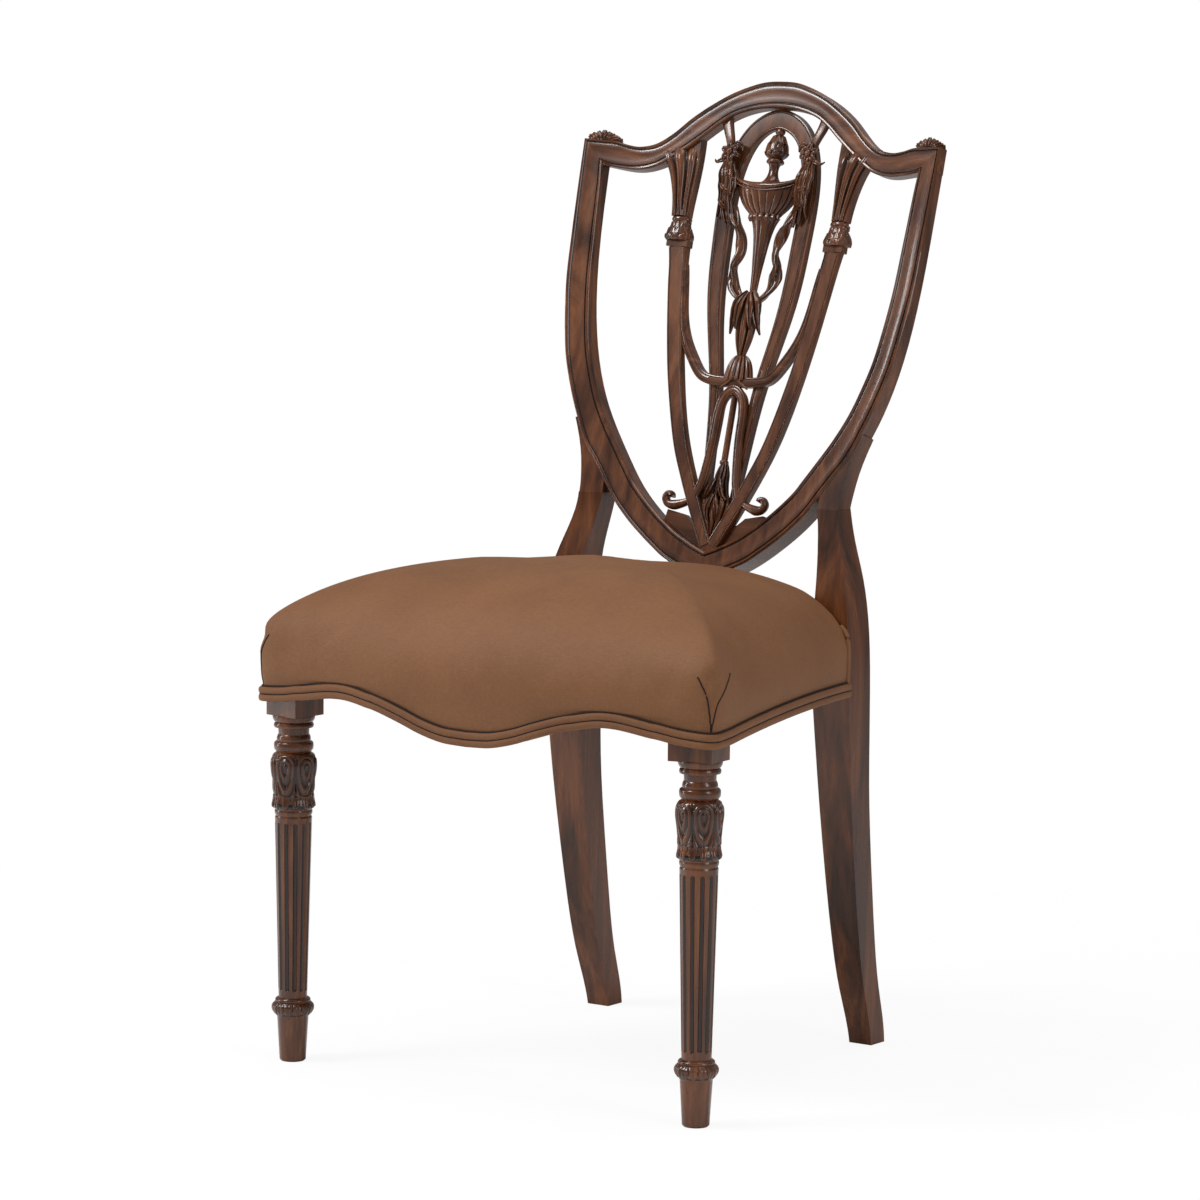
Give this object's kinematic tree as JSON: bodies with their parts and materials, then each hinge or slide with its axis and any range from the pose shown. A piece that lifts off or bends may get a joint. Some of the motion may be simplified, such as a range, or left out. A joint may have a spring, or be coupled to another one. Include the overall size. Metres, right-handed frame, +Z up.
{
  "type": "dining chair",
  "caption": "Shield back dining chair with a carved urn and husk splat, fluted turned front legs, sabre rear legs and a domed upholstered seat with a serpentine welted edge.",
  "frame": {"origin": "middle of the chair's footprint box, on the floor", "axes": "+Z up, +X to the viewer's right from the front, the sitter faces -Y"},
  "size_m": [0.5479, 0.5572, 0.9832],
  "materials": {
    "beech_dowel": "plain",
    "beech_frame": "planed, unfinished",
    "carved_mahogany": "semi-gloss lacquer with darkened hollows",
    "dust_cloth": "thin black cloth",
    "hessian_cloth": "coarse woven cloth",
    "polished_mahogany": "satin lacquer over red-brown stain",
    "screw_steel": "zinc plated",
    "seat_fabric": "close woven brown cloth with a soft sheen",
    "seat_filling": "stitched upholstery filling",
    "webbing_tape": "woven tape",
    "welt_fabric": "the seat's cloth over piping cord"
  },
  "bodies": {
    "root": {"acanthus_spray": "carved_mahogany", "centre_rod": "polished_mahogany", "corner_block_screws": "screw_steel", "crest_rail": "polished_mahogany", "drapery_left": "carved_mahogany", "drapery_right": "carved_mahogany", "dust_cover": "dust_cloth", "front_corner_block_left": "beech_frame", "front_corner_block_right": "beech_frame", "front_leg_left": "polished_mahogany", "front_leg_right": "polished_mahogany", "front_seat_rail": "beech_frame", "hessian_sheet": "hessian_cloth", "husk_drop": "carved_mahogany", "inner_hoop": "polished_mahogany", "leaf_calyx": "carved_mahogany", "lower_strap": "polished_mahogany", "lower_welt_cord": "welt_fabric", "outer_rib_left": "polished_mahogany", "outer_rib_right": "polished_mahogany", "rail_dowels": "beech_dowel", "rear_corner_block_left": "beech_frame", "rear_corner_block_right": "beech_frame", "rear_leg_left": "polished_mahogany", "rear_leg_right": "polished_mahogany", "rear_seat_rail": "beech_frame", "rear_welts": "welt_fabric", "ribbon_left": "carved_mahogany", "ribbon_right": "carved_mahogany", "scroll_left": "polished_mahogany", "scroll_right": "polished_mahogany", "seat_cover": "seat_fabric", "seat_pad": "seat_filling", "shield_lower_rail_left": "polished_mahogany", "shield_lower_rail_right": "polished_mahogany", "shoe_plate": "polished_mahogany", "side_seat_rail_left": "beech_frame", "side_seat_rail_right": "beech_frame", "swag_stretcher": "polished_mahogany", "upper_welt_cord": "welt_fabric", "urn": "carved_mahogany", "urn_finial": "carved_mahogany", "webbing_crosswise": "webbing_tape", "webbing_lengthwise": "webbing_tape"}
  },
  "joints": []
}
